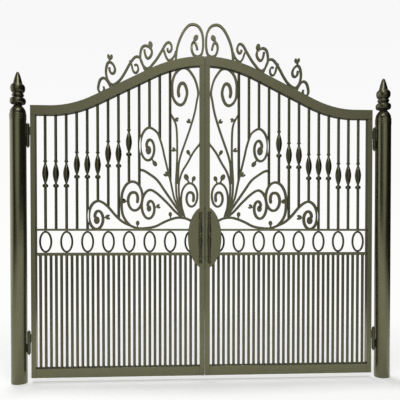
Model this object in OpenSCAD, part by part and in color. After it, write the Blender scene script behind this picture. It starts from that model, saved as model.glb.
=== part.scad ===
/* [Opening and posts] */
// clear opening between the two posts
opening_w = 3000; // [1800:10:4200]
// post tube outer diameter
post_d = 133; // [90:1:200]
// post tube wall
post_wall = 5; // [3:0.5:8]
// height of the post tube
post_h = 2262; // [1500:1:3200]
// height of a finial above its post
finial_h = 350; // [200:1:500]
// gap between a post and the hinge stile
post_gap = 40; // [34:1:60]

/* [Leaf frame] */
// gap between the two leaves at the middle
joint_gap = 7; // [6:0.5:12]
// height of the leaf underside over the ground
clear_under = 43; // [20:1:90]
// height of the top rail at the hinge side
side_top_z = 2331; // [1700:1:3000]
// rise of the top rail from the hinge side to the middle
crown_rise = 434; // [200:1:700]
// face width of the stiles
stile_w = 40; // [30:1:60]
// height of the top and bottom rails
rail_h = 80; // [50:1:110]
// depth of the frame, front to back
frame_d = 60; // [40:1:80]

/* [Ring band] */
// height of the top of the ring band
band_top_z = 1300; // [1000:1:1600]
// thickness of the upper band rail
band_up_t = 18; // [12:1:26]
// thickness of the lower band rail
band_low_t = 24; // [14:1:32]
// clear height of the ring band
band_gap = 185; // [120:1:240]
// depth of the band rails
band_d = 30; // [20:1:45]
// width of one oval ring
ring_w = 110; // [70:1:140]
// bar thickness of a ring
ring_t = 15; // [10:1:22]
// depth of a ring
ring_d = 24; // [14:1:36]

/* [Pickets and bars] */
// diameter of the pickets and bars
bar_d = 24; // [16:1:30]
// gap from a stile to the middle of the first picket
pick_end = 33; // [24:1:42]
// largest diameter of a cast spindle
spindle_d = 53; // [34:1:70]
// length of the barrel of a cast spindle
spindle_l = 146; // [90:1:190]

/* [Scrollwork] */
// width of the scroll bars in the plane of the leaf
scroll_w = 21; // [12:0.5:26]
// width of the slim stems
stem_w = 17; // [10:0.5:22]
// depth of the scroll bars
scroll_d = 22; // [12:1:26]
// height of the crest arch over the foot of the arch
crest_rise = 338; // [180:1:460]
// width of the crest scroll bars
crest_w = 19; // [12:0.5:24]
// length of a leaf bud with its stem
leaf_l = 80; // [50:1:100]

/* [Lock plates and handles] */
// height of the middle of the lock plates
lock_z = 1225; // [900:1:1500]
// height of the oval lock plate
lock_h = 536; // [350:1:680]
// width of the full oval, both leaves together
lock_w = 283; // [200:1:360]
// sheet thickness of the lock plates
lock_t = 8; // [4:0.5:14]
// length of a pull handle
handle_l = 446; // [300:1:560]
// largest diameter of a pull handle
handle_d = 28; // [18:1:36]
// reach of a handle from its plate to the handle axis
handle_reach = 44; // [34:1:70]

/* [Hinges] */
// barrel diameter
barrel_d = 28; // [20:1:32]
// length of one hinge with its caps
hinge_l = 206; // [140:1:260]
// pin diameter
pin_d = 14; // [8:1:18]
// offset of the hinge axis to the front of the gate plane
hinge_off = 20; // [10:1:30]

/* [Hidden] */
$fn = 48;
pin_play = 0.05;
mesh_gap = 0.2;
pick_n = 31;
bars_n = 13;
rings_n = 8;
mid_x = (opening_w + post_d) / 2;
in_u = joint_gap / 2 + stile_w;
out_u = opening_w / 2 - post_gap;
leaf_w = out_u - joint_gap / 2;
hinge_u = opening_w / 2 - post_gap / 2;
stile_u = out_u - stile_w;
pick_p = (stile_u - in_u - 2 * pick_end) / (pick_n - 1);
crown_z = side_top_z + crown_rise;
kx = leaf_w / 1456;
kz = (crown_z - rail_h - band_top_z) / 1385;
kc = crest_rise / 338;
band_low_z = band_top_z - band_up_t - band_gap;
hinge_top_z = side_top_z - 256;
hinge_low_z = clear_under + 294;
lock_y = frame_d / 2;
handle_y = frame_d / 2 + lock_t + handle_reach;
handle_u = max(in_u - 6, 30);

iron = [0.40, 0.40, 0.30];
cast = [0.36, 0.36, 0.27];

// ---- curves -------------------------------------------------------------
// top edge of the top rail over u, the distance from the middle of the gate
ua = 1300 * kx;
ub = 935 * kx;
uc = 480 * kx;
slope = crown_rise / ((ua - ub) / 2 + (ub - uc) + uc / 2);
function top_z(u) =
  u >= ua ? side_top_z
  : u >= ub ? side_top_z + slope * pow(ua - u, 2) / (2 * (ua - ub))
  : u >= uc ? side_top_z + slope * (ua - ub) / 2 + slope * (ub - u)
  : crown_z - slope * u * u / (2 * uc);
function top_slope(u) =
  u >= ua ? 0 : u >= ub ? slope * (ua - u) / (ua - ub) : u >= uc ? slope : slope * u / uc;
// the underside runs parallel to the top edge
function under_pt(u) = let(m = -top_slope(u), n = sqrt(1 + m * m))
  [u + m * rail_h / n, top_z(u) - rail_h / n];
rail_us = concat([out_u], [for (i = [0:28]) ua * (1 - i / 28)]);
// a curve through a list of points, m steps to a span
function cr(a, b, c, d, t) = 0.5 * (2 * b + (c - a) * t + (2 * a - 5 * b + 4 * c - d) * t * t
  + (3 * b - a - 3 * c + d) * t * t * t);
function curve(p, m = 3) = let(n = len(p)) concat([for (i = [0:n - 2], j = [0:m - 1])
  cr(i > 0 ? p[i - 1] : 2 * p[0] - p[1], p[i], p[i + 1], i < n - 2 ? p[i + 2] : 2 * p[n - 1] - p[n - 2], j / m)],
  [p[n - 1]]);
// an oval spiral: middle, squeeze, first radius, loss of radius in a quarter turn, angles
function spiral(c, e, r, k, a0, a1) = let(n = ceil(abs(a1 - a0) / 30))
  [for (i = [0:n]) let(a = a0 + (a1 - a0) * i / n, q = r - k * abs(a - a0) / 90)
    [c[0] + e * q * cos(a), c[1] + q * sin(a)]];
// from design places (u, height over the band) to the leaf
function place(p) = [for (q = p) [-q[0] * kx, band_top_z + q[1] * kz]];
function dir(p, i) = let(n = len(p), a = p[max(i - 1, 0)], b = p[min(i + 1, n - 1)], d = b - a) d / norm(d);
function taper(i, n, t0, t1) = let(s = i / (n - 1)) t0 + (t1 - t0) * s * s;
// where a bar standing at x meets a curve from above: height and slope
function hits(p, x) = [for (i = [0:len(p) - 2]) if ((p[i][0] - x) * (p[i + 1][0] - x) <= 0
  && abs(p[i][0] - p[i + 1][0]) > 0.001) let(m = (p[i + 1][1] - p[i][1]) / (p[i + 1][0] - p[i][0]))
  [p[i][1] + m * (x - p[i][0]), m]];
function highest(h) = let(z = max([for (q = h) q[0]])) [for (q = h) if (q[0] == z) q][0];

// ---- paths of the scrolls -----------------------------------------------
vine_path = curve(place(concat(
  [[30, 40], [85, 50], [130, 75], [170, 90], [230, 95], [290, 80], [350, 55], [420, 20], [500, 5],
   [575, 5], [640, 30], [700, 60], [760, 115], [815, 180]],
  spiral([910, 95], 0.61, 147, 21.5, 120, -360))));
tall_path = curve(place(concat([[640, 33], [675, 75], [700, 130]],
  spiral([605, 255], 0.61, 172, 23.5, -12, 430), [[590, 307], [576, 290], [570, 262], [573, 230]])));
mid_path = curve(place(concat([[190, 100], [215, 115], [260, 155], [305, 205], [350, 250], [405, 300]],
  spiral([470, 185], 0.55, 147, 24, 98, -345))));
arc_path = curve(place([[555, 500], [520, 495], [470, 465], [405, 415], [345, 330], [290, 250], [245, 185], [200, 120]]));
tall_stem = curve(place(concat(
  [[190, 120], [220, 180], [260, 260], [290, 400], [320, 520], [345, 625], [360, 695], [380, 760], [405, 820]],
  spiral([475, 695], 0.52, 166, 26, 98, -362))));
bar_stem = curve(place([[190, 120], [220, 200], [240, 280], [245, 400], [240, 500], [235, 620], [235, 750],
  [240, 855], [255, 915], [295, 985]]));
stile_stem = curve(place([[185, 110], [210, 200], [220, 300], [220, 385], [205, 450], [185, 500], [145, 565],
  [105, 640], [70, 690], [35, 730]]));
crown_path = curve(place([[230, 385], [225, 470], [220, 560], [200, 640], [165, 740], [125, 855], [85, 990],
  [65, 1100], [55, 1155], [65, 1220], [85, 1280], [120, 1335], [150, 1365], [190, 1370], [230, 1345], [260, 1300],
  [275, 1240], [275, 1170], [270, 1120], [245, 1075], [210, 1055], [180, 1070], [160, 1110], [150, 1160],
  [160, 1210], [180, 1240], [205, 1235], [220, 1205], [225, 1165], [220, 1135]]));
inner_path = curve(place(concat([[170, 90], [180, 130], [195, 180]],
  spiral([120, 270], 0.58, 141, 20, -8, 430), [[108, 308], [96, 288], [94, 262], [97, 240]])));

// ---- shared shapes ------------------------------------------------------
// a bar of width w laid along a curve, t times as wide at its end
module strip(p, w, t = 1, g = 0) {
  n = len(p);
  polygon(concat(
    [for (i = [0:n - 1]) let(d = dir(p, i), h = taper(i, n, w / 2, w * t / 2) + g) p[i] + h * [-d[1], d[0]]],
    [for (i = [n - 1:-1:0]) let(d = dir(p, i), h = taper(i, n, w / 2, w * t / 2) + g) p[i] - h * [-d[1], d[0]]]));
}
module oval(c, rx, rz, n = 24) {
  polygon([for (i = [0:n - 1]) [c[0] + rx * cos(360 * i / n), c[1] + rz * sin(360 * i / n)]]);
}
module eye(p, r) {
  oval(p[len(p) - 1], r * 0.8, r);
}
// a leaf bud that springs from a path at its place nearest to q and leans by angle a, with one lobe or two
function nearest(p, q) = let(d = [for (v = p) norm(v - q)], m = min(d)) [for (i = [0:len(p) - 1]) if (d[i] == m) p[i]][0];
module sprig(path, q, a, l = 1, lobes = 1) {
  s = leaf_l * l;
  translate(nearest(path, q)) rotate(a) {
    translate([-0.09 * s, 0]) square([0.18 * s, 0.5 * s]);
    if (lobes == 1) oval([0, 0.68 * s], 0.24 * s, 0.33 * s, 20);
    else for (k = [-1, 1]) translate([k * 0.1 * s, 0.38 * s]) rotate(-k * 14) oval([0, 0.26 * s], 0.17 * s, 0.3 * s, 20);
  }
}
module twig(path, q, a, l = 1, lobes = 1) {
  sprig(path, place([q])[0], a, l, lobes);
}
// a flat shape in the plane of the leaf, d deep
module slab(d) {
  translate([0, d / 2, 0]) rotate([90, 0, 0]) linear_extrude(height = d) children();
}
module rail_2d(g = 0) {
  polygon(concat([for (u = rail_us) [-max(u, joint_gap / 2), top_z(u) + g]],
    [for (i = [len(rail_us) - 1:-1:1]) let(q = under_pt(rail_us[i])) [-max(q[0], joint_gap / 2), q[1] - g]],
    [[-out_u, side_top_z - rail_h - g]]));
}
module above_under() {
  polygon(concat([for (i = [len(rail_us) - 1:-1:1]) let(q = under_pt(rail_us[i])) [-max(q[0], 0), q[1] - mesh_gap]],
    [[-out_u - 50, side_top_z - rail_h - mesh_gap], [-out_u - 50, crown_z + 200], [0, crown_z + 200]]));
}
module below_top() {
  polygon(concat([for (u = rail_us) [-u, top_z(u) + mesh_gap]], [[0, band_top_z], [-out_u, band_top_z]]));
}
function bar_x(k) = -(stile_u - pick_end - (2 * k - 1) * pick_p);
module bar_shadow(k, up = 0) {
  z = bar_end(k)[0] + (k > 5 ? bar_d / 2 : 0) + up;
  translate([bar_x(k) - bar_d / 2 - mesh_gap, z]) square([bar_d + 2 * mesh_gap, crown_z - z]);
}
module band_cut() {
  translate([-out_u, band_top_z - 200]) square([leaf_w + 4, 200 + mesh_gap]);
}
module stile_cut() {
  translate([-in_u - mesh_gap, clear_under]) square([in_u + 20, crown_z]);
}

// ---- posts --------------------------------------------------------------
module post() {
  color(iron) difference() {
    union() {
      cylinder(d = post_d, h = post_h);
      for (z = [8, 26, 44]) translate([0, 0, post_h - z - 3]) cylinder(d = post_d + 5, h = 6);
    }
    translate([0, 0, 6]) cylinder(d = post_d - 2 * post_wall, h = post_h);
  }
}
// the turned finial, closed on top of the tube
module finial() {
  r = post_d / 2;
  h = finial_h;
  color(cast) translate([0, 0, post_h]) rotate_extrude() polygon([[0, 0], [r * 0.94, 0], [r * 0.95, h * 0.02],
    [r * 0.93, h * 0.06], [r * 0.86, h * 0.11], [r * 0.74, h * 0.15], [r * 0.62, h * 0.175], [r * 0.60, h * 0.185],
    [r * 0.88, h * 0.195], [r * 0.96, h * 0.21], [r * 1.0, h * 0.235], [r * 1.0, h * 0.30], [r * 0.96, h * 0.325],
    [r * 0.88, h * 0.34], [r * 0.62, h * 0.35], [r * 0.61, h * 0.365], [r * 0.70, h * 0.375], [r * 0.75, h * 0.40],
    [r * 0.74, h * 0.43], [r * 0.66, h * 0.445], [r * 0.64, h * 0.46], [r * 0.74, h * 0.475], [r * 0.86, h * 0.51],
    [r * 0.90, h * 0.56], [r * 0.90, h * 0.60], [r * 0.85, h * 0.64], [r * 0.75, h * 0.67], [r * 0.62, h * 0.685],
    [r * 0.56, h * 0.70], [r * 0.50, h * 0.77], [r * 0.40, h * 0.86], [r * 0.28, h * 0.94], [r * 0.18, h * 0.98],
    [r * 0.08, h * 0.997], [0, h]]);
}
// lower half of a hinge: barrel, pin and the lug to the post
module pin_half(z) {
  bl = (hinge_l - 40) / 2;
  pa = atan2(hinge_off, post_d / 2 + post_gap / 2);
  translate([0, -hinge_off, z]) difference() {
    union() {
      translate([0, 0, -bl]) cylinder(d = barrel_d, h = bl);
      translate([0, 0, -bl - 18]) cylinder(d1 = 4, d2 = barrel_d, h = 18);
      cylinder(d = pin_d, h = bl - 22);
      rotate(180 - pa) translate([0, -5, -bl + 8]) cube([30, 10, bl - 16]);
    }
    translate([-post_d / 2 - post_gap / 2, hinge_off, -bl - 30])
      cylinder(d = post_d + 2 * mesh_gap, h = 2 * bl + 60);
  }
}
module left_pins() {
  color(cast) translate([post_d / 2 + post_gap / 2, 0, 0]) {
    pin_half(hinge_top_z);
    pin_half(hinge_low_z);
  }
}

// ---- leaf, drawn for the left side from the middle of the gate ------------
module hinge_stile() {
  color(iron) translate([-out_u, -frame_d / 2, clear_under])
    cube([stile_w, frame_d, side_top_z - rail_h - clear_under]);
}
module meeting_stile() {
  color(iron) difference() {
    translate([-in_u, -frame_d / 2, clear_under]) cube([stile_w, frame_d, crown_z - rail_h / 2 - clear_under]);
    slab(frame_d + 20) above_under();
  }
}
module top_rail() {
  color(iron) slab(frame_d) rail_2d();
}
module bottom_rail() {
  color(iron) translate([-stile_u, -frame_d / 2, clear_under]) cube([stile_u - in_u, frame_d, rail_h]);
}
module band_rails() {
  color(iron) {
    translate([-stile_u, -band_d / 2, band_top_z - band_up_t]) cube([stile_u - in_u, band_d, band_up_t]);
    translate([-stile_u, -band_d / 2, band_low_z - band_low_t]) cube([stile_u - in_u, band_d, band_low_t]);
  }
}
module band_rings() {
  color(cast) for (i = [1:rings_n]) translate([bar_x(2 * i - 1), 0, band_low_z + band_gap / 2]) slab(ring_d)
    difference() {
      oval([0, 0], ring_w / 2, band_gap / 2 - mesh_gap, 40);
      oval([0, 0], ring_w / 2 - ring_t, band_gap / 2 - ring_t, 40);
    }
}
module lower_pickets() {
  color(iron) for (i = [0:pick_n - 1]) translate([-(stile_u - pick_end - i * pick_p), 0, clear_under + rail_h])
    cylinder(d = bar_d, h = band_low_z - band_low_t - clear_under - rail_h, $fn = 24);
}
// heights of the spindle middles, one to a bar
function spindle_z(k) = band_top_z + (side_top_z - rail_h - band_top_z)
  * (k <= 3 ? 0.489 : k <= 6 ? 0.57 : k <= 8 ? 0.67 : 0.773);
sp_low = 0.92;
sp_high = 0.78;
function bar_end(k) = k <= 5 ? [band_top_z, 0]
  : highest(hits(k <= 8 ? vine_path : k <= 10 ? tall_path : tall_stem, bar_x(k)));
module upper_bars() {
  color(iron) difference() {
    for (k = [1:bars_n]) let(x = bar_x(k), b = bar_end(k), t = crown_z - rail_h, lo = k <= 5 ? b[0] : b[0] - 30)
      translate([x, 0, 0]) if (k <= 9) {
        z = spindle_z(k);
        translate([0, 0, lo]) cylinder(d = bar_d, h = z - spindle_l * sp_low - lo, $fn = 24);
        translate([0, 0, z + spindle_l * sp_high]) cylinder(d = bar_d, h = t - z - spindle_l * sp_high, $fn = 24);
      } else translate([0, 0, lo]) cylinder(d = bar_d, h = t - lo, $fn = 24);
    slab(bar_d + 20) above_under();
    for (k = [6:bars_n]) let(b = bar_end(k)) translate([bar_x(k), 0, b[0]])
      rotate([0, -atan(b[1]), 0]) translate([-60, -30, -120]) cube([120, 60, 120]);
    slab(bar_d + 20) {
      strip(vine_path, scroll_w, 1.15, mesh_gap);
      strip(tall_path, scroll_w, 1.2, mesh_gap);
      strip(tall_stem, stem_w, 1.4, mesh_gap);
    }
  }
}
module cast_spindles() {
  r = spindle_d / 2;
  b = bar_d / 2;
  l = spindle_l;
  color(cast) for (k = [1:9]) translate([bar_x(k), 0, spindle_z(k)]) rotate_extrude($fn = 24)
    polygon([[0, -l * sp_low], [b, -l * sp_low], [b, -l * 0.85], [b * 0.8, -l * 0.83], [r * 0.80, -l * 0.78],
      [r * 0.92, -l * 0.71], [r * 0.80, -l * 0.64], [b * 0.8, -l * 0.59], [b * 0.75, -l * 0.54], [r * 0.50, -l * 0.47],
      [r * 0.74, -l * 0.33], [r * 0.93, -l * 0.15], [r, 0], [r * 0.93, l * 0.15], [r * 0.74, l * 0.33], [r * 0.50, l * 0.47],
      [b * 0.8, l * 0.56], [b * 0.85, l * 0.64], [r * 0.62, l * 0.68], [r * 0.62, l * 0.73], [b, l * 0.76],
      [b, l * sp_high], [0, l * sp_high]]);
}
module vine_2d(g = 0) {
  strip(vine_path, scroll_w, 1.15, g);
}
module fan_2d(g = 0) {
  strip(arc_path, scroll_w, 1, g);
  strip(tall_stem, stem_w, 1.4, g);
  strip(bar_stem, stem_w, 1, g);
  strip(stile_stem, stem_w, 1, g);
}
module vine_scroll() {
  color(iron) slab(scroll_d) difference() {
    union() {
      vine_2d();
      oval(place([[916, 72]])[0], 24, 33);
      twig(vine_path, [865, 90], -85, 0.8, 2);
      twig(vine_path, [297, 82], 5, 0.8);
      twig(vine_path, [583, 6], -5, 0.8);
    }
    band_cut();
    stile_cut();
    bar_shadow(5);
  }
}
module c_scrolls() {
  color(iron) slab(scroll_d) difference() {
    union() {
      strip(tall_path, scroll_w, 1.2);
      eye(tall_path, 14);
      twig(tall_path, [650, 228], 80, 0.75, 2);
      difference() {
        union() {
          strip(mid_path, scroll_w, 1.15);
          oval(place([[475, 173]])[0], 20, 28);
          twig(mid_path, [440, 180], -75, 0.7, 2);
        }
        strip(tall_path, scroll_w, 1.2, mesh_gap);
      }
    }
    band_cut();
    vine_2d(mesh_gap);
    fan_2d(mesh_gap);
    bar_shadow(8);
  }
}
module fan_stems() {
  color(iron) slab(scroll_d) difference() {
    union() {
      fan_2d();
      oval(place([[479, 669]])[0], 24, 36);
      twig(tall_stem, [451, 603], -146, 0.95);
      twig(tall_stem, [305, 430], 52, 0.75, 2);
      twig(bar_stem, [258, 930], -100, 0.6, 2);
      twig(bar_stem, [236, 666], 69, 0.65, 2);
      twig(stile_stem, [112, 627], 31, 0.8);
    }
    vine_2d(mesh_gap);
    stile_cut();
    bar_shadow(10);
    bar_shadow(13, 60);
  }
}
module crown_scroll() {
  color(iron) slab(scroll_d) difference() {
    union() {
      strip(crown_path, stem_w, 1.6);
      eye(crown_path, 15);
      twig(crown_path, [112, 908], 53, 0.65, 2);
    }
    fan_2d(mesh_gap);
    stile_cut();
    above_under();
    bar_shadow(13);
  }
}
module inner_scroll() {
  color(iron) slab(scroll_d) difference() {
    union() {
      strip(inner_path, stem_w, 1.45);
      eye(inner_path, 13);
      twig(inner_path, [138, 400], 25, 1.05);
      twig(inner_path, [98, 395], -20, 0.85);
    }
    vine_2d(mesh_gap);
    fan_2d(mesh_gap);
    stile_cut();
  }
}
// crest places: design u, height over the rail top at a foot place f
function crest(p, f) = [for (q = p) [-q[0] * kx, top_z(f * kx) + q[1] * kc]];
end_curl = curve(crest([[785, 35], [795, 50], [825, 105], [855, 130], [885, 110], [900, 50], [895, 20], [879, 6],
  [860, 12], [850, 35], [856, 57]], 890));
low_chain = curve(crest([[807, 155], [803, 125], [789, 106], [771, 107], [760, 127], [762, 155], [779, 185],
  [805, 200], [825, 180], [835, 120], [825, 60], [800, 20], [775, 10], [745, 25], [710, 60], [675, 115], [640, 180],
  [610, 225], [590, 245], [570, 250], [550, 240], [535, 210], [515, 155], [495, 120]], 760));
low_curl = curve(crest([[635, 135], [620, 100], [611, 62], [598, 38], [579, 36], [565, 57], [566, 86], [580, 103],
  [597, 96]], 600));
high_chain = curve(crest([[512, 170], [507, 138], [497, 108], [482, 96], [464, 108], [450, 135], [450, 163],
  [465, 187], [490, 201], [515, 200], [535, 180], [545, 140], [545, 90],
  [530, 50], [510, 20], [490, 10], [465, 20], [440, 50], [405, 95], [360, 170], [335, 215], [310, 235], [290, 225],
  [280, 195], [285, 170], [300, 155], [315, 165], [315, 185]], 475));
high_curl = curve(crest([[350, 110], [340, 85], [330, 55], [310, 25], [285, 30], [260, 60], [245, 100]], 330));
arch_path = curve(crest([[250, -25], [245, 15], [235, 100], [210, 180], [175, 250], [135, 295], [95, 305],
  [55, 290], [28, 250], [16, 205], [12, 150], [15, 100], [24, 60], [40, 40], [65, 33], [90, 45], [105, 70],
  [112, 105], [107, 138], [93, 153], [78, 145], [69, 120], [62, 90]], 240));
module arch_2d(g = 0) {
  strip(arch_path, crest_w, 1, g);
}
module crest_arch() {
  color(iron) slab(scroll_d) difference() {
    union() {
      arch_2d();
      sprig(arch_path, crest([[98, 145]], 240)[0], -31);
    }
    below_top();
    translate([-joint_gap / 2, band_top_z]) square([200, crown_z]);
  }
}
module crest_scrolls() {
  color(iron) slab(scroll_d) difference() {
    union() {
      strip(end_curl, crest_w, 0.9);
      strip(low_chain, crest_w, 0.9);
      strip(low_curl, crest_w * 0.9, 0.8);
      strip(high_chain, crest_w, 0.9);
      strip(high_curl, crest_w * 0.9, 0.8);
      sprig(low_chain, crest([[805, 198]], 760)[0], -5, 0.85, 2);
      sprig(high_chain, crest([[452, 166]], 475)[0], 11, 0.95);
    }
    below_top();
    arch_2d(mesh_gap);
  }
}
// oval plates front and back over the meeting stile
module lock_plates() {
  color(iron) for (s = [-1, 1]) translate([0, s * (frame_d / 2 + lock_t / 2), 0]) slab(lock_t) difference() {
    oval([0, lock_z], lock_w / 2, lock_h / 2, 72);
    translate([-joint_gap / 2, lock_z - lock_h]) square([lock_w, 2 * lock_h]);
  }
}
module pull_handles() {
  r = handle_d / 2;
  l = handle_l;
  color(cast) for (s = [0, 1]) translate([-handle_u, 0, lock_z]) mirror([0, s, 0]) {
    translate([0, -handle_y, 0]) union() {
      rotate_extrude($fn = 32) polygon([[0, -l / 2], [r * 0.5, -l * 0.495], [r * 0.85, -l * 0.47], [r * 0.7, -l * 0.445],
        [r * 0.5, -l * 0.43], [r * 0.5, -l * 0.40], [r * 0.8, -l * 0.38], [r * 0.8, -l * 0.36], [r * 0.5, -l * 0.34],
        [r * 0.6, -l * 0.25], [r * 0.85, -l * 0.13], [r, -l * 0.05], [r * 0.8, 0], [r * 0.65, l * 0.01], [r * 0.9, l * 0.03],
        [r * 0.9, l * 0.05], [r * 0.65, l * 0.065], [r, l * 0.10], [r * 0.9, l * 0.17], [r * 0.6, l * 0.28],
        [r * 0.5, l * 0.34], [r * 0.8, l * 0.36], [r * 0.8, l * 0.38], [r * 0.5, l * 0.40], [r * 0.5, l * 0.43],
        [r * 0.7, l * 0.445], [r * 0.85, l * 0.47], [r * 0.5, l * 0.495], [0, l / 2]]);
      for (z = [-l * 0.41, l * 0.41]) translate([0, handle_reach, z]) rotate([90, 0, 0]) cylinder(d = r, h = handle_reach);
    }
  }
}
// upper half of a hinge: bored barrel, ball cap and the lug to the stile
module barrel_half(z) {
  bl = (hinge_l - 40) / 2;
  translate([-hinge_u, -hinge_off, z + 0.5]) difference() {
    union() {
      cylinder(d = barrel_d, h = bl);
      translate([0, 0, bl + barrel_d * 0.3]) sphere(d = barrel_d);
      translate([0, 0, bl + barrel_d * 0.65]) cylinder(d1 = barrel_d * 0.5, d2 = 3, h = 12);
      translate([0, -2, 8]) cube([post_gap / 2, 9, bl - 16]);
    }
    translate([0, 0, -1]) cylinder(d = pin_d + 2 * pin_play, h = bl - 20);
  }
}
module hinge_barrels() {
  color(cast) {
    barrel_half(hinge_top_z);
    barrel_half(hinge_low_z);
  }
}
module left_side() {
  translate([mid_x, 0, 0]) children();
}
module right_side() {
  translate([mid_x, 0, 0]) mirror([1, 0, 0]) children();
}

post();  // left_post
translate([2 * mid_x, 0, 0]) post();  // right_post
finial();  // left_finial
translate([2 * mid_x, 0, 0]) finial();  // right_finial
left_pins();  // left_hinge_pins
translate([2 * mid_x, 0, 0]) mirror([1, 0, 0]) left_pins();  // right_hinge_pins
left_side() hinge_stile();  // left_hinge_stile
left_side() meeting_stile();  // left_meeting_stile
left_side() top_rail();  // left_top_rail
left_side() bottom_rail();  // left_bottom_rail
left_side() band_rails();  // left_band_rails
left_side() band_rings();  // left_band_rings
left_side() lower_pickets();  // left_lower_pickets
left_side() upper_bars();  // left_upper_bars
left_side() cast_spindles();  // left_cast_spindles
left_side() vine_scroll();  // left_vine_scroll
left_side() c_scrolls();  // left_c_scrolls
left_side() fan_stems();  // left_fan_stems
left_side() crown_scroll();  // left_crown_scroll
left_side() inner_scroll();  // left_inner_scroll
left_side() crest_arch();  // left_crest_arch
left_side() crest_scrolls();  // left_crest_scrolls
left_side() lock_plates();  // left_lock_plates
left_side() pull_handles();  // left_pull_handles
left_side() hinge_barrels();  // left_hinge_barrels
right_side() hinge_stile();  // right_hinge_stile
right_side() meeting_stile();  // right_meeting_stile
right_side() top_rail();  // right_top_rail
right_side() bottom_rail();  // right_bottom_rail
right_side() band_rails();  // right_band_rails
right_side() band_rings();  // right_band_rings
right_side() lower_pickets();  // right_lower_pickets
right_side() upper_bars();  // right_upper_bars
right_side() cast_spindles();  // right_cast_spindles
right_side() vine_scroll();  // right_vine_scroll
right_side() c_scrolls();  // right_c_scrolls
right_side() fan_stems();  // right_fan_stems
right_side() crown_scroll();  // right_crown_scroll
right_side() inner_scroll();  // right_inner_scroll
right_side() crest_arch();  // right_crest_arch
right_side() crest_scrolls();  // right_crest_scrolls
right_side() lock_plates();  // right_lock_plates
right_side() pull_handles();  // right_pull_handles
right_side() hinge_barrels();  // right_hinge_barrels
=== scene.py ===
# %% [markdown]
# A pair of wrought iron driveway gates, rebuilt for rendering.
# The CAD model arrives as a fixed frame: every tube, bar and scroll already
# stands where it belongs, in metres.  This lesson dresses that frame.  It
# rounds the edges that a blacksmith would dress, turns the castings smoothly,
# welds bar to rail, and sprays everything with a satin olive bronze paint.

# %% Load the frame and keep its size
import math

import bmesh
import bpy
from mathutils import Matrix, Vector
from mathutils.bvhtree import BVHTree


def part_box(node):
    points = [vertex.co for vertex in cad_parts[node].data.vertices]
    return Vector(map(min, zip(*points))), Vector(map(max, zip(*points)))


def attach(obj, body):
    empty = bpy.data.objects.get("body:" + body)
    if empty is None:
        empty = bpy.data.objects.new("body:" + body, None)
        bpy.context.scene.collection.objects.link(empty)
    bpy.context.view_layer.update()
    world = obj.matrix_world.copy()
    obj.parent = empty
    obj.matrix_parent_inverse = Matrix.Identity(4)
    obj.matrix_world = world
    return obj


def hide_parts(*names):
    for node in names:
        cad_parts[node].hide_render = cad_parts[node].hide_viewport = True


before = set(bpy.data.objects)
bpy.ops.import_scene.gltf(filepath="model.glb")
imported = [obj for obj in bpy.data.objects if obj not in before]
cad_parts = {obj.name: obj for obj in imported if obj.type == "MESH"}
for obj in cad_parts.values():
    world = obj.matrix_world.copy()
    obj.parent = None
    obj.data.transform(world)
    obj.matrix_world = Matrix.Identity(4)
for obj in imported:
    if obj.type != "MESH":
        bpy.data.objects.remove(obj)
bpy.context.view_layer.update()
MM = 0.001
scene = bpy.context.scene

# %% [markdown]
# The places that everything else is measured from come from the frame: the
# post axes, the middle of the opening and the ground.

# %% Where the gate stands
right_post_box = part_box("right_post")
post_axis = {
    "left": Vector((0, 0, 0)),
    "right": Vector(((right_post_box[0].x + right_post_box[1].x) / 2, 0, 0)),
}
middle_x = post_axis["right"].x / 2
SIDES = ("left", "right")
BODY = {"left": "left_leaf", "right": "right_leaf"}
SCROLLS = (
    "vine_scroll", "c_scrolls", "fan_stems", "crown_scroll", "inner_scroll", "crest_arch", "crest_scrolls",
)
print("middle of the opening at x =", round(middle_x, 4))

# %% [markdown]
# A colour is easiest to name as the hex value a paint chart would give.
# Shaders work in linear light, so one function turns the one into the other.


# %% Colours and nodes
def linear(hex_colour):
    """An sRGB hex value as linear red, green, blue and an alpha of one."""
    parts = [int(hex_colour[i : i + 2], 16) / 255 for i in (1, 3, 5)]
    return tuple(c / 12.92 if c <= 0.04045 else ((c + 0.055) / 1.055) ** 2.4 for c in parts) + (1.0,)


def add(tree, kind, settings=None, inputs=None):
    """Adds one node.  An input is given a value, or the socket that feeds it."""
    node = tree.nodes.new(kind)
    for name, value in (settings or {}).items():
        setattr(node, name, value)
    for name, value in (inputs or {}).items():
        if isinstance(value, bpy.types.NodeSocket):
            tree.links.new(value, node.inputs[name])
        else:
            node.inputs[name].default_value = value
    return node


# %% [markdown]
# The camera stands a little left of the middle, at chest height, and turns
# slightly to the right.  The lens is lifted a touch (a vertical shift), as an
# architect's camera would be, so that the posts stay upright.  Places are in
# metres and angles in radians.

# %% Camera
CAMERA_OFFSET_X = -0.2974
CAMERA_Y = -4.2869
CAMERA_Z = 1.2757
CAMERA_YAW = 0.0601
CAMERA_PITCH = 0.0167
LENS_MM = 45
LENS_LIFT = 0.0999
camera = bpy.data.objects.new("camera", bpy.data.cameras.new("camera"))
scene.collection.objects.link(camera)
camera.location = (middle_x + CAMERA_OFFSET_X, CAMERA_Y, CAMERA_Z)
looking = Vector((
    math.sin(CAMERA_YAW) * math.cos(CAMERA_PITCH),
    math.cos(CAMERA_YAW) * math.cos(CAMERA_PITCH),
    -math.sin(CAMERA_PITCH),
))
camera.rotation_mode = "QUATERNION"
camera.rotation_quaternion = looking.to_track_quat("-Z", "Y")
camera.data.sensor_width = 36
camera.data.lens = LENS_MM
camera.data.shift_y = LENS_LIFT
camera.data.clip_end = 100
scene.camera = camera
print("camera at", [round(v, 3) for v in camera.location])

# %% [markdown]
# The studio is white.  What the camera sees behind the gate is a plain pale
# backdrop.  The light that falls on the iron is shaped apart from it: a soft
# front, a brighter wall far to the left, a glow overhead, and darkness to the
# right.  That dark side is what models the round posts and bars.

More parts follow.
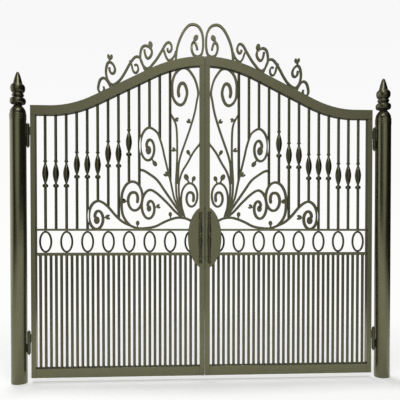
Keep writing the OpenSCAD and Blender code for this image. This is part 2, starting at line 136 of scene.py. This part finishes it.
# %% World: a pale backdrop and soft walls of light
scene.view_settings.view_transform = "Standard"
world = bpy.data.worlds.new("studio")
scene.world = world
world.use_nodes = True
sky = world.node_tree
sky.nodes.clear()
direction = add(sky, "ShaderNodeTexCoord").outputs["Generated"]


def wall(towards, edge_deg, core_deg, strength):
    """Light from round one direction: full inside core_deg, nothing beyond edge_deg."""
    near = add(sky, "ShaderNodeVectorMath", {"operation": "DOT_PRODUCT"}, {
        0: direction, 1: tuple(Vector(towards).normalized())})
    return add(sky, "ShaderNodeMapRange", {"interpolation_type": "SMOOTHSTEP"}, {
        "Value": near.outputs["Value"], "From Min": math.cos(math.radians(edge_deg)),
        "From Max": math.cos(math.radians(core_deg)), "To Min": 0.0, "To Max": strength}).outputs["Result"]


# towards, edge and core in degrees, strength: front, far left, overhead, behind
walls = [
    wall((0.04, -1.0, 0.10), 36, 8, 0.86),
    wall((-0.97, 0.22, 0.05), 50, 14, 1.6),
    wall((0.0, -0.1, 1.0), 50, 8, 0.5),
    wall((0.0, 1.0, 0.2), 50, 10, 0.2),
]
BARE_DARK = 0.004
total = BARE_DARK
for light in walls:
    total = add(sky, "ShaderNodeMath", {"operation": "ADD"}, {0: light, 1: total}).outputs[0]
glow = add(sky, "ShaderNodeBackground", None, {"Color": (1, 1, 1, 1), "Strength": total})
height = add(sky, "ShaderNodeSeparateXYZ", None, {0: direction})
horizon = add(sky, "ShaderNodeMapRange", None, {"Value": height.outputs["Z"], "From Min": 0.0, "From Max": 0.35})
tint = add(sky, "ShaderNodeMix", {"data_type": "RGBA"}, {
    0: horizon.outputs["Result"], 6: linear("#fdfdfc"), 7: linear("#f8f8f8")})
backdrop = add(sky, "ShaderNodeBackground", None, {"Color": tint.outputs[2], "Strength": 1.0})
ray = add(sky, "ShaderNodeLightPath")
seen = add(sky, "ShaderNodeMixShader", None, {
    0: ray.outputs["Is Camera Ray"], 1: glow.outputs[0], 2: backdrop.outputs[0]})
add(sky, "ShaderNodeOutputWorld", None, {"Surface": seen.outputs[0]})


# %% A soft box high in front, and a lamp overhead
def soft_box(name, place, target, width, tall, power):
    """A rectangular light that faces its target and isn't seen by the camera."""
    lamp = bpy.data.lights.new(name, "AREA")
    lamp.shape = "RECTANGLE"
    lamp.size, lamp.size_y, lamp.energy = width, tall, power
    box = bpy.data.objects.new(name, lamp)
    scene.collection.objects.link(box)
    box.location = place
    box.rotation_mode = "QUATERNION"
    box.rotation_quaternion = (Vector(target) - Vector(place)).to_track_quat("-Z", "Y")
    box.visible_camera = False


soft_box("high_front_box", (middle_x - 0.4, -3.6, 6.2), (middle_x, 0, 1.6), 2.6, 1.4, 120)
sun = bpy.data.lights.new("high_lamp", "SUN")
sun.energy, sun.angle = 0.9, math.radians(6)
high_lamp = bpy.data.objects.new("high_lamp", sun)
scene.collection.objects.link(high_lamp)
high_lamp.rotation_mode = "QUATERNION"
high_lamp.rotation_quaternion = Vector((0.04, -0.11, -1.0)).to_track_quat("-Z", "Y")

# %% [markdown]
# The floor is a round sheet of pale paper.  It fades out towards its rim, so
# no horizon line crosses the picture.  The paper also glows a little of
# itself.  That glow is painted light: it lifts the whole floor and lightens
# the shadows cast on it.

# %% Floor
FLOOR_RADIUS = 7.0
FLOOR_DROP = 1 * MM
FADE_FROM, FADE_TO = 1.9, 4.5
bm = bmesh.new()
bmesh.ops.create_circle(bm, cap_ends=True, segments=96, radius=FLOOR_RADIUS)
bmesh.ops.translate(bm, verts=bm.verts, vec=(middle_x, 0, -FLOOR_DROP))
floor_mesh = bpy.data.meshes.new("floor")
bm.to_mesh(floor_mesh)
bm.free()
floor = bpy.data.objects.new("floor", floor_mesh)
scene.collection.objects.link(floor)
paper = bpy.data.materials.new("pale paper with painted glow")
paper.use_nodes = True
tree = paper.node_tree
tree.nodes.clear()
where = add(tree, "ShaderNodeTexCoord")
centred = add(tree, "ShaderNodeMapping", {"vector_type": "POINT"}, {
    "Vector": where.outputs["Object"], "Location": (-middle_x, 0, 0)})
far = add(tree, "ShaderNodeVectorMath", {"operation": "LENGTH"}, {0: centred.outputs[0]})
fade = add(tree, "ShaderNodeMapRange", {"interpolation_type": "SMOOTHSTEP"}, {
    "Value": far.outputs["Value"], "From Min": FADE_FROM, "From Max": FADE_TO, "To Min": 1.0, "To Max": 0.0})
lit = add(tree, "ShaderNodeBsdfDiffuse", None, {"Color": (0.77, 0.77, 0.77, 1)})
# painted light: an emission that makes the paper glow though it is no lamp, lifting the floor and lightening its
# shadows
painted_glow = add(tree, "ShaderNodeEmission", None, {"Color": (1, 1, 0.99, 1), "Strength": 0.39})
sheet = add(tree, "ShaderNodeAddShader", None, {0: lit.outputs[0], 1: painted_glow.outputs[0]})
clear = add(tree, "ShaderNodeBsdfTransparent")
mixed = add(tree, "ShaderNodeMixShader", None, {0: fade.outputs[0], 1: clear.outputs[0], 2: sheet.outputs[0]})
add(tree, "ShaderNodeOutputMaterial", None, {"Surface": mixed.outputs[0]})
floor_mesh.materials.append(paper)


# %% [markdown]
# The finish is a two-part spray: olive bronze with fine metal flake under a
# satin lacquer.  Flake makes the paint behave half like metal, so it shows a
# broad soft highlight and goes almost black where nothing bright is reflected.
# On drawn tube the coat has a faint orange peel; on cast iron the sand of
# the mould shows through; forged bar keeps the shallow marks of the hammer.


# %% Paints
def spray_paint(name, light, dark, mottle_mm, grain_mm, grain_depth_mm, roughness, rough_spread, flake=0.95):
    """A flake paint: tone drifts over mottle_mm, and the skin is bumpy at grain_mm."""
    material = bpy.data.materials.new(name)
    material.use_nodes = True
    tree = material.node_tree
    tree.nodes.clear()
    spot = add(tree, "ShaderNodeTexCoord").outputs["Object"]
    mottle = add(tree, "ShaderNodeTexNoise", None, {
        "Vector": spot, "Scale": 1000 / mottle_mm, "Detail": 4.0, "Roughness": 0.6})
    tone = add(tree, "ShaderNodeMix", {"data_type": "RGBA"}, {
        0: mottle.outputs["Fac"], 6: linear(dark), 7: linear(light)})
    skin = add(tree, "ShaderNodeTexNoise", None, {
        "Vector": spot, "Scale": 1000 / grain_mm, "Detail": 3.0, "Roughness": 0.55})
    gloss = add(tree, "ShaderNodeMapRange", None, {
        "Value": skin.outputs["Fac"], "From Min": 0.3, "From Max": 0.7,
        "To Min": roughness - rough_spread, "To Max": roughness + rough_spread})
    bump = add(tree, "ShaderNodeBump", None, {
        "Height": skin.outputs["Fac"], "Distance": grain_depth_mm * MM, "Strength": 0.6})
    coat = add(tree, "ShaderNodeBsdfPrincipled", None, {
        "Base Color": tone.outputs[2], "Roughness": gloss.outputs[0],
        "Normal": bump.outputs[0], "Metallic": flake})
    add(tree, "ShaderNodeOutputMaterial", None, {"Surface": coat.outputs[0]})
    return material


tube_paint = spray_paint(
    "olive bronze paint on drawn steel tube", "#727259", "#686851",
    mottle_mm=90, grain_mm=7, grain_depth_mm=0.25, roughness=0.29, rough_spread=0.04)
bar_paint = spray_paint(
    "olive bronze paint on forged bar", "#6b6b54", "#5a5a47",
    mottle_mm=40, grain_mm=11, grain_depth_mm=0.9, roughness=0.36, rough_spread=0.05)
cast_paint = spray_paint(
    "olive bronze paint on sand cast iron", "#60604b", "#4c4c3c",
    mottle_mm=30, grain_mm=5, grain_depth_mm=0.5, roughness=0.32, rough_spread=0.06)

# %% [markdown]
# Each CAD part is a bag of loose triangles.  A copy has its corners merged
# and its flat faces joined again.  Then a small bevel rounds every sharp
# edge, as the file and the paint do on the real bar, and catches the light.


# %% Helpers for finished pieces
def new_piece(name, mesh, body, material):
    """An object of one material that rides on a body."""
    piece = bpy.data.objects.new(name, mesh)
    scene.collection.objects.link(piece)
    mesh.materials.clear()
    mesh.materials.append(material)
    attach(piece, body)
    return piece


def dressed_copy(node, edge_mm, body, material, smooth_deg=35, cuts=2, joint_mm=0.0):
    """A copy of a CAD node with merged corners and rounded edges, which stands for the node.

    joint_mm moves the faces at the joint of the two leaves that much towards the middle."""
    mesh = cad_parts[node].data.copy()
    mesh.name = node + "_dressed"
    bm = bmesh.new()
    bm.from_mesh(mesh)
    bmesh.ops.remove_doubles(bm, verts=bm.verts, dist=0.01 * MM)
    bmesh.ops.dissolve_limit(bm, angle_limit=math.radians(0.4), verts=bm.verts, edges=bm.edges)
    for vert in bm.verts:
        if joint_mm and abs(vert.co.x - middle_x) < 5 * MM:
            vert.co.x += math.copysign(joint_mm * MM, middle_x - vert.co.x)
    bm.to_mesh(mesh)
    bm.free()
    mesh.shade_smooth()
    mesh.set_sharp_from_angle(angle=math.radians(smooth_deg))
    piece = new_piece(node + "_dressed", mesh, body, material)
    bevel = piece.modifiers.new("dressed edge", "BEVEL")
    bevel.width = edge_mm * MM
    bevel.segments = cuts
    bevel.limit_method = "ANGLE"
    bevel.angle_limit = math.radians(smooth_deg + 5)
    bevel.use_clamp_overlap = True
    bevel.harden_normals = False
    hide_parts(node)
    return piece


# %% [markdown]
# The frame of a leaf is welded from rectangular steel tube.  Scrolls are
# forged from square bar, and the bars and handles are rounds, so their
# dressing is lighter.  The two leaves are drawn a little nearer to each other
# at their joint than they stand in the frame.

# %% Frame, scrolls, bars and hinges
TUBE_EDGE_MM, FLAT_EDGE_MM, SCROLL_EDGE_MM = 2.5, 1.8, 2.6
BAR_EDGE_MM, HANDLE_EDGE_MM, HINGE_EDGE_MM = 0.6, 0.3, 1.0
JOINT_MM = 1.4
for side in SIDES:
    body = BODY[side]
    for part in ("hinge_stile", "meeting_stile", "top_rail", "bottom_rail"):
        dressed_copy(f"{side}_{part}", TUBE_EDGE_MM, body, tube_paint, cuts=3, joint_mm=JOINT_MM)
    for part in ("band_rails", "lock_plates"):
        dressed_copy(f"{side}_{part}", FLAT_EDGE_MM, body, tube_paint)
    for part in SCROLLS:
        dressed_copy(f"{side}_{part}", SCROLL_EDGE_MM, body, bar_paint)
    dressed_copy(f"{side}_upper_bars", BAR_EDGE_MM, body, bar_paint)
    dressed_copy(f"{side}_pull_handles", HANDLE_EDGE_MM, body, cast_paint, smooth_deg=55)
    dressed_copy(f"{side}_hinge_barrels", HINGE_EDGE_MM, body, cast_paint)
    dressed_copy(f"{side}_hinge_pins", HINGE_EDGE_MM, "posts", cast_paint)

# %% [markdown]
# Posts, finials and spindles are turned.  For a post and a spindle the CAD
# mesh holds the rings of the profile; reading those gives the heights and
# radii.  A finial has its own profile, listed below, which is fitted to the
# foot and tip of the CAD finial.  A smooth curve through a profile, spun with
# many segments, makes a round that stays round near by.


# %% Turning
def islands(node):
    """The separate bodies of a CAD node, each as the list of its corners."""
    bm = bmesh.new()
    bm.from_mesh(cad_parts[node].data)
    bmesh.ops.remove_doubles(bm, verts=bm.verts, dist=0.01 * MM)
    found, seen = [], set()
    for start in bm.verts:
        if start in seen:
            continue
        seen.add(start)
        body, todo = [], [start]
        while todo:
            vert = todo.pop()
            body.append(vert.co.copy())
            for edge in vert.link_edges:
                other = edge.other_vert(vert)
                if other not in seen:
                    seen.add(other)
                    todo.append(other)
        found.append(body)
    bm.free()
    return found


def read_profile(corners, axis):
    """Height and largest radius of each ring of corners round an upright axis, lowest first."""
    rings = {}
    for co in corners:
        z = round(co.z, 5)
        rings[z] = max(rings.get(z, 0.0), math.hypot(co.x - axis.x, co.y - axis.y))
    return [(z, rings[z]) for z in sorted(rings)]


def through(points, steps):
    """A smooth curve through a profile, that many steps to a span."""
    fine = []
    for i in range(len(points) - 1):
        a, b, c, d = (Vector(points[min(max(k, 0), len(points) - 1)]) for k in (i - 1, i, i + 1, i + 2))
        for j in range(steps):
            t = j / steps
            spot = 0.5 * (2 * b + (c - a) * t + (2 * a - 5 * b + 4 * c - d) * t * t
                          + (3 * b - a - 3 * c + d) * t * t * t)
            fine.append((spot[0], max(spot[1], 0.2 * MM)))
    return fine + [tuple(points[-1])]


def turn(name, profile, axis, segments=96):
    """A closed body of revolution round an upright axis."""
    rows = len(profile)
    turns = [math.tau * k / segments for k in range(segments)]
    verts = [(axis.x + r * math.cos(t), axis.y + r * math.sin(t), z) for z, r in profile for t in turns]
    faces = [(i * segments + k, i * segments + (k + 1) % segments,
              (i + 1) * segments + (k + 1) % segments, (i + 1) * segments + k)
             for i in range(rows - 1) for k in range(segments)]
    faces += [tuple(range(segments))[::-1], tuple((rows - 1) * segments + k for k in range(segments))]
    mesh = bpy.data.meshes.new(name)
    mesh.from_pydata(verts, [], faces)
    mesh.shade_smooth()
    mesh.set_sharp_from_angle(angle=math.radians(50))
    return mesh


# %% Posts and finials
# a bell shoulder, a ring, a bead, a bulb and the spear point: height along the
# finial and radius in post radii
FINIAL = (
    (0.0, 0.95), (0.02, 0.97), (0.055, 0.95), (0.09, 0.89), (0.125, 0.79), (0.16, 0.65), (0.19, 0.52), (0.21, 0.47),
    (0.222, 0.50), (0.235, 0.82), (0.255, 0.92), (0.28, 0.96), (0.325, 0.96), (0.35, 0.91), (0.37, 0.80),
    (0.385, 0.60), (0.40, 0.60), (0.415, 0.69), (0.445, 0.75), (0.475, 0.69), (0.49, 0.60), (0.505, 0.62),
    (0.52, 0.76), (0.55, 0.85), (0.585, 0.89), (0.63, 0.89), (0.665, 0.84), (0.69, 0.74), (0.705, 0.62),
    (0.72, 0.57), (0.78, 0.50), (0.86, 0.39), (0.94, 0.25), (0.98, 0.16), (0.997, 0.07), (1.0, 0.01))
FOOT_EDGE = 1.5 * MM
RING_PROUD = 3.2 * MM
RING_STEPS = 8
for side in SIDES:
    axis = post_axis[side]
    radii = read_profile([v.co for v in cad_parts[f"{side}_post"].data.vertices], axis)
    top = radii[-1][0]
    tube = radii[0][1]
    proud = [z for z, r in radii if r > tube + 1 * MM]
    profile = [(0.0, tube - FOOT_EDGE), (FOOT_EDGE, tube)]
    for low, high in zip(proud[0::2], proud[1::2]):
        for k in range(RING_STEPS + 1):
            turned = math.pi * k / RING_STEPS
            up = (low + high) / 2 - (high - low) / 2 * math.cos(turned)
            profile.append((up, tube + RING_PROUD * math.sin(turned)))
    profile.append((top, tube))
    mesh = turn(f"{side}_turned_post", profile, axis, 128)
    post = new_piece(f"{side}_turned_post", mesh, "posts", tube_paint)
    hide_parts(f"{side}_post")
    foot, tip = (corner.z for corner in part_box(f"{side}_finial"))
    spear = [(foot + (tip - foot) * up, tube * out) for up, out in FINIAL]
    mesh = turn(f"{side}_turned_finial", through(spear, 4), axis)
    cap = new_piece(f"{side}_turned_finial", mesh, "posts", cast_paint)
    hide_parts(f"{side}_finial")
    print(side, "post:", len(profile), "rings, finial:", len(spear), "rings")

# %% [markdown]
# What repeats is made by Geometry Nodes: rows of pickets, rows of rings, and
# one turned spindle set on every bar.  Two helpers build a tree with named
# inputs and turn its result into a plain mesh.


# %% Geometry Nodes helpers
def new_tree(name, inputs):
    """A tree with named inputs, and its input and output nodes."""
    tree = bpy.data.node_groups.new(name, "GeometryNodeTree")
    tree.interface.new_socket("Geometry", in_out="INPUT", socket_type="NodeSocketGeometry")
    for label, kind in inputs.items():
        tree.interface.new_socket(label, in_out="INPUT", socket_type="NodeSocket" + kind)
    tree.interface.new_socket("Geometry", in_out="OUTPUT", socket_type="NodeSocketGeometry")
    return tree, add(tree, "NodeGroupInput").outputs


def close_tree(tree, instances, material):
    """Ends a tree: real geometry with its material."""
    real = add(tree, "GeometryNodeRealizeInstances", None, {0: instances})
    painted = add(tree, "GeometryNodeSetMaterial", None, {"Geometry": real.outputs[0], "Material": material})
    add(tree, "NodeGroupOutput", None, {0: painted.outputs[0]})


def grown(name, tree, values, base=None, smooth_deg=35):
    """Runs a tree with these input values and returns the result as a plain mesh."""
    holder = bpy.data.objects.new(name, base or bpy.data.meshes.new(name))
    scene.collection.objects.link(holder)
    modifier = holder.modifiers.new(name, "NODES")
    modifier.node_group = tree
    for item in tree.interface.items_tree:
        if item.in_out == "INPUT" and item.name in values:
            modifier[item.identifier] = values[item.name]
    graph = bpy.context.evaluated_depsgraph_get()
    mesh = bpy.data.meshes.new_from_object(holder.evaluated_get(graph), depsgraph=graph)
    holder.modifiers.remove(modifier)
    bpy.data.objects.remove(holder)
    mesh.name = name
    mesh.shade_smooth()
    mesh.set_sharp_from_angle(angle=math.radians(smooth_deg))
    return mesh


# %% [markdown]
# A picket is a round bar with a small ring of weld at its foot and its head.
# The ring is two cones: a flat one, and a steep one over it that closes on the
# bar.  Upside down, the same ring serves the head.

# %% Tree: a row of pickets
ROUND_SIDES = 32
WELD_WAIST = 0.35
picket_tree, given = new_tree("picket row", {
    "First": "Vector", "Pitch": "Float", "Count": "Int", "Tall": "Float", "Radius": "Float", "Weld": "Float",
    "Material": "Material"})
half = add(picket_tree, "ShaderNodeMath", {"operation": "DIVIDE"}, {0: given["Tall"], 1: 2.0})
centre = add(picket_tree, "ShaderNodeCombineXYZ", None, {"Z": half.outputs[0]})
bar = add(picket_tree, "GeometryNodeMeshCylinder", None, {
    "Vertices": ROUND_SIDES, "Radius": given["Radius"], "Depth": given["Tall"]})
raised = add(picket_tree, "GeometryNodeTransform", None, {
    "Geometry": bar.outputs["Mesh"], "Translation": centre.outputs[0]})
wide = add(picket_tree, "ShaderNodeMath", None, {0: given["Radius"], 1: given["Weld"]})
mid = add(picket_tree, "ShaderNodeMath", {"operation": "MULTIPLY_ADD"}, {
    0: given["Weld"], 1: WELD_WAIST, 2: given["Radius"]})
low_weld = add(picket_tree, "GeometryNodeMeshCone", None, {
    "Vertices": ROUND_SIDES, "Radius Top": mid.outputs[0], "Radius Bottom": wide.outputs[0], "Depth": given["Weld"]})
high_weld = add(picket_tree, "GeometryNodeMeshCone", None, {
    "Vertices": ROUND_SIDES, "Radius Top": given["Radius"], "Radius Bottom": mid.outputs[0],
    "Depth": given["Weld"]})
step = add(picket_tree, "ShaderNodeCombineXYZ", None, {"Z": given["Weld"]})
high_up = add(picket_tree, "GeometryNodeTransform", None, {
    "Geometry": high_weld.outputs["Mesh"], "Translation": step.outputs[0]})
bead = add(picket_tree, "GeometryNodeJoinGeometry")
for source in (low_weld.outputs["Mesh"], high_up.outputs[0]):
    picket_tree.links.new(source, bead.inputs[0])
tall = add(picket_tree, "ShaderNodeCombineXYZ", None, {"Z": given["Tall"]})
over = add(picket_tree, "GeometryNodeTransform", None, {
    "Geometry": bead.outputs[0], "Translation": tall.outputs[0], "Rotation": (math.pi, 0, 0)})
picket = add(picket_tree, "GeometryNodeJoinGeometry")
for source in (raised.outputs[0], bead.outputs[0], over.outputs[0]):
    picket_tree.links.new(source, picket.inputs[0])
pitch = add(picket_tree, "ShaderNodeCombineXYZ", None, {"X": given["Pitch"]})
row = add(picket_tree, "GeometryNodeMeshLine", {"mode": "OFFSET"}, {
    "Count": given["Count"], "Start Location": given["First"], "Offset": pitch.outputs[0]})
placed = add(picket_tree, "GeometryNodeInstanceOnPoints", None, {
    "Points": row.outputs[0], "Instance": picket.outputs[0]})
close_tree(picket_tree, placed.outputs[0], given["Material"])


def row_of(node):
    """The bodies of a row along x: lowest x first, each as (low corner, high corner)."""
    boxes = []
    for corners in islands(node):
        boxes.append((Vector([min(c[i] for c in corners) for i in range(3)]),
                      Vector([max(c[i] for c in corners) for i in range(3)])))
    return sorted(boxes, key=lambda ends: ends[0].x)


# %% Lower pickets
WELD = 4.5 * MM
for side in SIDES:
    pickets = row_of(f"{side}_lower_pickets")
    low, high = pickets[0]
    across = (low + high) / 2
    pitch_x = (pickets[-1][0].x - low.x) / (len(pickets) - 1)
    mesh = grown(f"{side}_picket_row", picket_tree, {
        "First": (across.x, across.y, low.z), "Pitch": pitch_x, "Count": len(pickets), "Tall": high.z - low.z,
        "Radius": (high.x - low.x) / 2, "Weld": WELD, "Material": bar_paint})
    piece = new_piece(f"{side}_picket_row", mesh, BODY[side], bar_paint)
    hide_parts(f"{side}_lower_pickets")
    print(side, "pickets:", len(pickets), "at a pitch of", round(pitch_x / MM, 1), "mm")

# %% [markdown]
# The rings of the band are cast: an oval path swept with a rounded section.

# %% Tree: a row of cast oval rings
ring_tree, given = new_tree("cast ring row", {
    "First": "Vector", "Pitch": "Float", "Count": "Int", "Half size": "Vector", "Thick": "Float", "Deep": "Float",
    "Material": "Material"})
path = add(ring_tree, "GeometryNodeCurvePrimitiveCircle", None, {"Resolution": 64, "Radius": 1.0})
size = add(ring_tree, "ShaderNodeSeparateXYZ", None, {0: given["Half size"]})
flat = add(ring_tree, "ShaderNodeCombineXYZ", None, {"X": size.outputs["X"], "Y": size.outputs["Z"], "Z": 1.0})
oval = add(ring_tree, "GeometryNodeTransform", None, {"Geometry": path.outputs[0], "Scale": flat.outputs[0]})
section = add(ring_tree, "GeometryNodeCurvePrimitiveCircle", None, {"Resolution": 20, "Radius": 0.5})
lens = add(ring_tree, "ShaderNodeCombineXYZ", None, {"X": given["Thick"], "Y": given["Deep"], "Z": 1.0})
rounded = add(ring_tree, "GeometryNodeTransform", None, {"Geometry": section.outputs[0], "Scale": lens.outputs[0]})
swept = add(ring_tree, "GeometryNodeCurveToMesh", None, {0: oval.outputs[0], 1: rounded.outputs[0]})
upright = add(ring_tree, "GeometryNodeTransform", None, {
    "Geometry": swept.outputs[0], "Rotation": (math.pi / 2, 0, 0)})
pitch = add(ring_tree, "ShaderNodeCombineXYZ", None, {"X": given["Pitch"]})
row = add(ring_tree, "GeometryNodeMeshLine", {"mode": "OFFSET"}, {
    "Count": given["Count"], "Start Location": given["First"], "Offset": pitch.outputs[0]})
placed = add(ring_tree, "GeometryNodeInstanceOnPoints", None, {
    "Points": row.outputs[0], "Instance": upright.outputs[0]})
close_tree(ring_tree, placed.outputs[0], given["Material"])

# %% Band rings
RING_THICK = 17 * MM
for side in SIDES:
    rings = row_of(f"{side}_band_rings")
    low, high = rings[0]
    across, reach = (low + high) / 2, (high - low) / 2
    pitch_x = (rings[-1][0].x - low.x) / (len(rings) - 1)
    mesh = grown(f"{side}_ring_row", ring_tree, {
        "First": tuple(across), "Pitch": pitch_x, "Count": len(rings),
        "Half size": (reach.x - RING_THICK / 2, 0.0, reach.z - RING_THICK / 2), "Thick": RING_THICK,
        "Deep": 2 * reach.y, "Material": cast_paint}, smooth_deg=60)
    piece = new_piece(f"{side}_ring_row", mesh, BODY[side], cast_paint)
    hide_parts(f"{side}_band_rings")
    print(side, "rings:", len(rings), "piece", [round(v / MM) for v in piece.dimensions], "mm")

# %% [markdown]
# Nine bars of a leaf carry a cast spindle.  One spindle is turned, and a tree
# sets it on each place, turned a little about its axis each time.

# %% Tree: one casting on many places
place_tree, given = new_tree("castings on places", {
    "Casting": "Object", "Seed": "Int", "Material": "Material"})
whole = add(place_tree, "GeometryNodeObjectInfo", {"transform_space": "ORIGINAL"}, {"Object": given["Casting"]})
angle = add(place_tree, "FunctionNodeRandomValue", {"data_type": "FLOAT_VECTOR"}, {
    0: (0, 0, 0), 1: (0, 0, math.tau), "Seed": given["Seed"]})
placed = add(place_tree, "GeometryNodeInstanceOnPoints", None, {
    "Points": given["Geometry"], "Instance": whole.outputs["Geometry"], "Rotation": angle.outputs[0]})
close_tree(place_tree, placed.outputs[0], given["Material"])


def points_mesh(name, places):
    """A mesh of loose points, one to a place."""
    mesh = bpy.data.meshes.new(name)
    mesh.from_pydata([tuple(p) for p in places], [], [])
    return mesh


# %% Cast spindles
SPINDLE_SEED = 7
for side in SIDES:
    bodies = islands(f"{side}_cast_spindles")
    feet = []
    for corners in bodies:
        x = (min(c.x for c in corners) + max(c.x for c in corners)) / 2
        feet.append(Vector((x, 0, min(c.z for c in corners))))
    first = [co - feet[0] for co in bodies[0]]
    shape = turn("spindle", through(read_profile(first, Vector((0, 0, 0))), 3), Vector((0, 0, 0)), 48)
    casting = bpy.data.objects.new("spindle", shape)
    scene.collection.objects.link(casting)
    mesh = grown(f"{side}_spindles", place_tree, {"Casting": casting, "Seed": SPINDLE_SEED, "Material": cast_paint},
                 points_mesh("feet", feet), 50)
    bpy.data.objects.remove(casting)
    piece = new_piece(f"{side}_spindles", mesh, BODY[side], cast_paint)
    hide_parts(f"{side}_cast_spindles")
    print(side, "spindles:", len(feet))

# %% [markdown]
# Where a scroll touches its neighbour the smith leaves a small lump of weld.
# The contacts are found by looking for corners that lie on another piece;
# near ones are gathered into one place.  The lumps vary in size, with a fixed
# seed.

# %% Tree: weld lumps
weld_tree, given = new_tree("weld lumps", {
    "Size": "Vector", "Least": "Float", "Seed": "Int", "Material": "Material"})
ball = add(weld_tree, "GeometryNodeMeshIcoSphere", None, {"Radius": 1.0, "Subdivisions": 3})
vary = add(weld_tree, "FunctionNodeRandomValue", {"data_type": "FLOAT"}, {
    2: given["Least"], 3: 1.0, "Seed": given["Seed"]})
scaled = add(weld_tree, "ShaderNodeVectorMath", {"operation": "SCALE"}, {
    0: given["Size"], "Scale": vary.outputs[1]})
lumps = add(weld_tree, "GeometryNodeInstanceOnPoints", None, {
    "Points": given["Geometry"], "Instance": ball.outputs["Mesh"], "Scale": scaled.outputs[0]})
close_tree(weld_tree, lumps.outputs[0], given["Material"])


# %% Weld lumps at the scroll contacts
def contacts(node, others, reach, spacing):
    """Places in the plane of the leaf where corners of a node lie within reach of another node."""
    trees = []
    for other in others:
        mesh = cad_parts[other].data
        corners, sides = [v.co for v in mesh.vertices], [p.vertices for p in mesh.polygons]
        trees.append(BVHTree.FromPolygons(corners, sides))
    groups = []
    for corner in {tuple(round(c, 5) for c in v.co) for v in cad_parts[node].data.vertices}:
        co = Vector(corner)
        if any(tree.find_nearest(co, reach)[0] is not None for tree in trees):
            for group in groups:
                if math.hypot(group[0].x - co.x, group[0].z - co.z) < spacing:
                    group.append(co)
                    break
            else:
                groups.append([co])
    return [Vector((sum(c.x for c in g) / len(g), 0, sum(c.z for c in g) / len(g))) for g in groups]


TOUCH = 0.6 * MM
GATHER = 22 * MM
LEAST_APART = 12 * MM
LUMP_SIZE = (7 * MM, 11.6 * MM, 7 * MM)
LUMP_LEAST = 0.72
LUMP_SEED = 11
for side in SIDES:
    places = []
    for part in SCROLLS:
        others = [f"{side}_{name}" for name in SCROLLS + ("upper_bars", "meeting_stile", "top_rail", "band_rails")
                  if name != part]
        for place in contacts(f"{side}_{part}", others, TOUCH, GATHER):
            if all((place - kept).length > LEAST_APART for kept in places):
                places.append(place)
    mesh = grown(f"{side}_scroll_welds", weld_tree, {
        "Size": LUMP_SIZE, "Least": LUMP_LEAST, "Seed": LUMP_SEED, "Material": bar_paint},
        points_mesh("contacts", places), 180)
    new_piece(f"{side}_scroll_welds", mesh, BODY[side], bar_paint)
    print(side, "scroll welds:", len(places))
